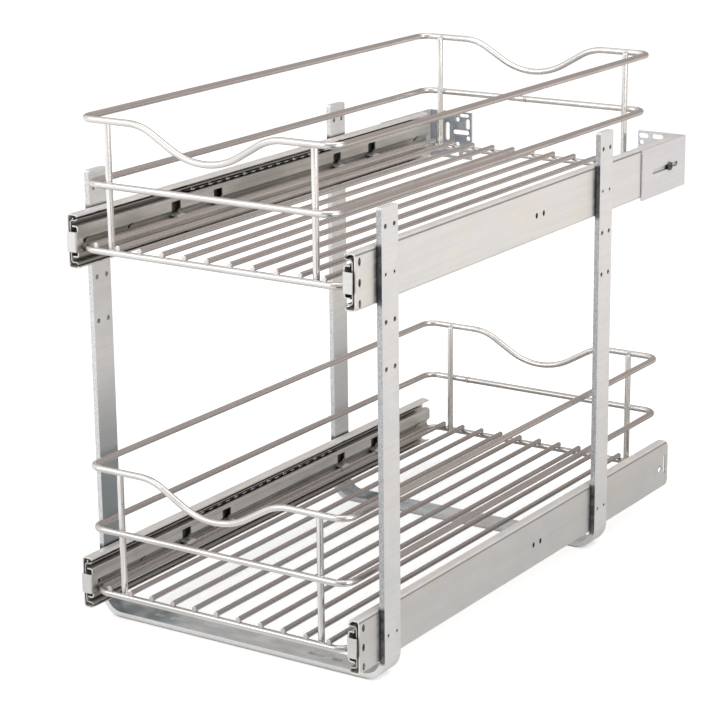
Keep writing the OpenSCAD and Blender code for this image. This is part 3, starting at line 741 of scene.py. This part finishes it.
def make_upright_welds(level, materials):
    """Weld metal where the uprights stand against the insides of the rails."""
    bm = bmesh.new()
    low, high = corners(f"{level}_uprights")
    for rail in ("base", "mid", "top"):
        front, rear, height = rail_runs(level, rail)
        for x in (low.x + RAIL_R, high.x - RAIL_R):
            for y, inward in ((front, 1), (rear, -1)):
                place = Vector((x, y + inward * (RAIL_R - WELD_SINK / 2), height))
                phase = 400 * x + 90 * height + inward
                nugget(bm, place, ACROSS, UP, inward * LENGTHWISE, RAIL_R, RAIL_R, phase)
    add_piece(f"{level}_upright_welds", bm, f"{level}_basket", materials["weld"])


def make_uprights(level, materials):
    """Uprights with cropped ends, which stop behind the middle of the top rail."""
    bm = bmesh.new()
    low, high = corners(f"{level}_uprights")
    length = (high.z - low.z - RAIL_R) / MM
    profile = [
        (0.0, 0.0), (0.0, 1.2), (0.15, 2.2), (0.55, 2.72), (1.1, 2.8), (length - 1.4, 2.8),
        (length - 0.6, 2.66), (length - 0.1, 2.1), (length + 0.1, 1.1), (length + 0.1, 0.0),
    ]
    for x in (low.x + RAIL_R, high.x - RAIL_R):
        for y in (low.y + RAIL_R, high.y - RAIL_R):
            turned(bm, Vector((x, y, low.z)), UP, profile, steps=40)
    piece = add_piece(f"{level}_upright_wires", bm, f"{level}_basket", materials["upright"])
    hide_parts(f"{level}_uprights")


def make_wire_tips(level, materials):
    """Rounded ends on the floor wires."""
    bm = bmesh.new()
    low, high = corners(f"{level}_floor_wires")
    z = (low.z + high.z) / 2
    profile = [
        (-0.3, 0), (-0.25, 2.2), (0.0, 2.31), (0.22, 2.22), (0.42, 1.95), (0.55, 1.4), (0.6, 0.7), (0.62, 0),
    ]
    for x in floor_wire_places(level):
        for y, way in ((low.y, -1), (high.y, 1)):
            turned(bm, Vector((x, y, z)), way * LENGTHWISE, profile, wobble=0.05)
    add_piece(f"{level}_wire_tips", bm, f"{level}_basket", materials["tip"])


def make_butt_weld(level, materials):
    """Bead where the ends of the middle rail meet."""
    bm = bmesh.new()
    _, rear, height = rail_runs(level, "mid")
    profile = [
        (-1.9, 0), (-1.85, 2.78), (-1.2, 2.95), (-0.5, 3.2),
        (0.3, 3.28), (1.0, 3.02), (1.7, 2.78), (1.75, 0),
    ]
    turned(bm, Vector((BUTT_WELD_X[level], rear, height)), ACROSS, profile, wobble=0.12, steps=28)
    add_piece(f"{level}_butt_weld", bm, f"{level}_basket", materials["weld"])


def rounded_plate(bm, a, b, radius):
    """Small plate between two opposite corners, with its edges rounded."""
    middle = (a + b) / 2
    size = [abs(b[i] - a[i]) for i in range(3)]
    made = bmesh.ops.create_cube(bm, size=1)["verts"]
    for vert in made:
        vert.co = Vector(middle[i] + vert.co[i] * size[i] for i in range(3))
    edges = {edge for vert in made for edge in vert.link_edges}
    bmesh.ops.bevel(bm, geom=list(edges), offset=radius, segments=2, affect="EDGES", profile=0.6)


def make_cage_lugs(level, side, materials):
    """Lugs turned over along the edges of an inner cage, at each ball and between the balls."""
    bm = bmesh.new()
    low, high = corners(f"{level}_{side}_inner_cage")
    edge, way = (high.x, 1) if side == "left" else (low.x, -1)
    count = 2 * BALL_COUNT - 1
    first = (low.y + high.y - (count - 1) * LUG_PITCH) / 2
    for up, height in ((1, high.z), (-1, low.z)):
        for i in range(count):
            y = first + i * LUG_PITCH
            a = Vector((edge - way * LUG_INSIDE, y - LUG_HALF, height - up * LUG_FAR))
            b = Vector((edge + way * LUG_OUTSIDE, y + LUG_HALF, height - up * LUG_NEAR))
            rounded_plate(bm, a, b, LUG_ROUND)
    add_piece(f"{level}_{side}_cage_lugs", bm, f"{level}_inner_cages", materials["lug"])


def make_details(materials):
    for level in LEVELS:
        make_floor_welds(level, materials)
        make_uprights(level, materials)
        make_upright_welds(level, materials)
        make_wire_tips(level, materials)
        make_butt_weld(level, materials)
        for side in SIDES:
            make_cage_lugs(level, side, materials)


make_stage()
materials = make_materials()
paint_cad(materials)
make_details(materials)
